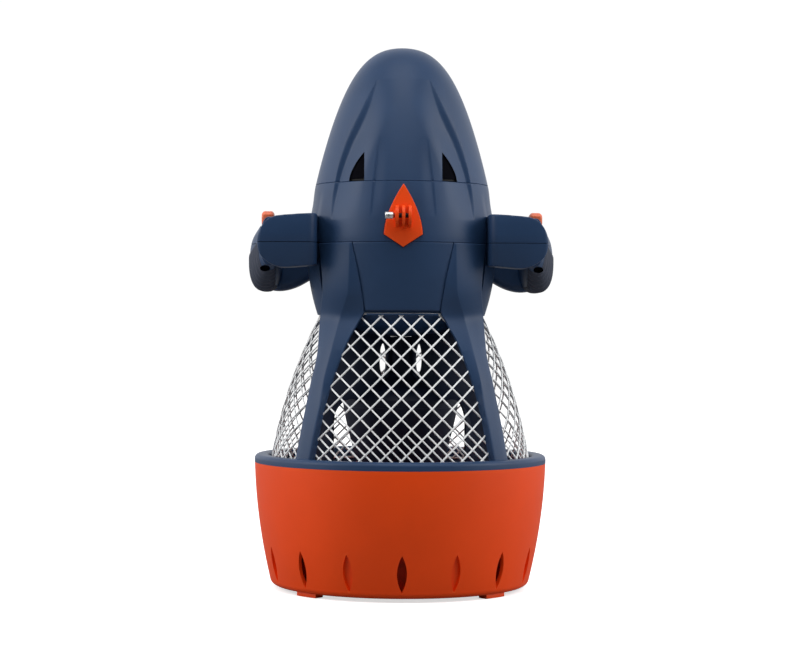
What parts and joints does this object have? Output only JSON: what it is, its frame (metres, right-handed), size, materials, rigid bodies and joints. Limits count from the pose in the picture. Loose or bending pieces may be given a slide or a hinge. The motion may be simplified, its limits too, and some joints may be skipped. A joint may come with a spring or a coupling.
{
  "type": "underwater scooter",
  "caption": "Hand-held underwater scooter with a removable nose, side handles with triggers, a caged propeller duct and a camera fork.",
  "frame": {"origin": "on the propeller axis, at the plane that the feet stand on", "axes": "+Z from the tail to the nose, -Y the top side that carries the camera mount, +X the rider's right"},
  "size_m": [0.3056, 0.29, 0.5375],
  "materials": {
    "navy_plastic": "fine satin texture",
    "dark_plastic": "satin",
    "orange_plastic": "fine satin texture",
    "trigger_plastic": "satin",
    "rubber": "ribbed, matte",
    "seal_rubber": "matte",
    "white_wire": "white coated wire",
    "steel": "stainless",
    "brass": "plain",
    "motor_iron": "plain",
    "foam": "closed-cell foam",
    "battery_wrap": "shrink-wrapped",
    "board": "circuit board"
  },
  "bodies": {
    "hull": {"upper_hull": "navy_plastic", "lower_hull": "navy_plastic", "hull_gasket": "seal_rubber", "battery_pack": "battery_wrap", "battery_contacts": "brass", "control_board": "board", "motor_cable": "seal_rubber", "camera_mount": "orange_plastic", "clamp_nut": "brass", "strut_front_right": "navy_plastic", "strut_front_left": "navy_plastic", "strut_rear_right": "navy_plastic", "strut_rear_left": "navy_plastic", "strut_screws": "steel", "guard_front": "white_wire", "guard_right": "white_wire", "guard_rear": "white_wire", "guard_left": "white_wire", "duct": "orange_plastic", "duct_lip": "navy_plastic", "nozzle": "orange_plastic", "outlet_grille": "dark_plastic", "pod_cap": "dark_plastic", "pod_shell": "dark_plastic", "seal_cover": "dark_plastic", "shaft_seal": "seal_rubber", "motor_can": "steel", "motor_magnets": "motor_iron", "bearing_front": "steel", "bearing_rear": "steel", "handle_screws": "steel", "right_handle_upper": "navy_plastic", "right_handle_lower": "navy_plastic", "right_grip_pad": "rubber", "right_trigger_pin": "steel", "right_trigger_spring": "steel", "right_trigger_switch": "dark_plastic", "left_handle_upper": "navy_plastic", "left_handle_lower": "navy_plastic", "left_grip_pad": "rubber", "left_trigger_pin": "steel", "left_trigger_spring": "steel", "left_trigger_switch": "dark_plastic"},
    "nose": {"nose_cone": "navy_plastic", "vent_screen_right": "dark_plastic", "vent_screen_left": "dark_plastic", "nose_bulkhead": "dark_plastic", "nose_gasket": "seal_rubber", "nose_seal_ring": "seal_rubber", "nose_float": "foam"},
    "drive": {"propeller": "dark_plastic", "propeller_shaft": "steel", "motor_rotor": "motor_iron", "drive_pin": "steel", "thrust_washer": "steel", "propeller_nut": "steel"},
    "trigger_right": {"right_trigger": "trigger_plastic"},
    "trigger_left": {"left_trigger": "trigger_plastic"},
    "clamp": {"clamp_screw": "steel"}
  },
  "joints": [
    {"name": "nose_lift", "type": "slide", "parent": "hull", "child": "nose", "axis": [0, 0, 1], "range_m": [0, 0.06]},
    {"name": "propeller_spin", "type": "hinge", "parent": "hull", "child": "drive", "pos_m": [0, 0, 0.095], "axis": [0, 0, 1], "continuous": true},
    {"name": "right_trigger_pull", "type": "hinge", "parent": "hull", "child": "trigger_right", "pos_m": [0.1325, 0.024, 0.345], "axis": [1, 0, 0], "range_deg": [0, 12], "stiffness_Nm_per_rad": 0.3, "springref_deg": -17.19},
    {"name": "left_trigger_pull", "type": "hinge", "parent": "hull", "child": "trigger_left", "pos_m": [-0.1325, 0.024, 0.345], "axis": [1, 0, 0], "range_deg": [0, 12], "stiffness_Nm_per_rad": 0.3, "springref_deg": -17.19},
    {"name": "clamp_turn", "type": "hinge", "parent": "hull", "child": "clamp", "pos_m": [0, -0.106, 0.3655], "axis": [1, 0, 0], "continuous": true}
  ]
}
